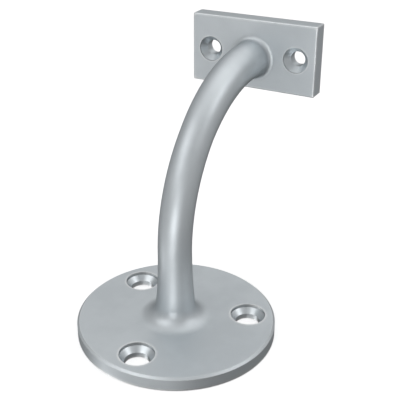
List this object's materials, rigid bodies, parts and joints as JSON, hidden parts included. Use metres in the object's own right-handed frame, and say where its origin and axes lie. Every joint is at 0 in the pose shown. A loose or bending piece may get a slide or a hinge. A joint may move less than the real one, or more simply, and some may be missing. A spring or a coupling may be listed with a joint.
{
  "type": "handrail bracket",
  "caption": "One-piece handrail bracket: a round wall flange, a round arm that turns a quarter circle, and a rectangular plate that is screwed up into the underside of the rail.",
  "frame": {"origin": "middle of the flange's flat wall face", "axes": "+Z points out of the wall along the foot of the arm, +Y is the way that the arm turns and is up in use, and the rail runs along X on the plate's +Y face"},
  "size_m": [0.07, 0.099, 0.098],
  "materials": {
    "bracket_metal": "satin"
  },
  "bodies": {
    "root": {"bracket": "bracket_metal"}
  },
  "joints": []
}
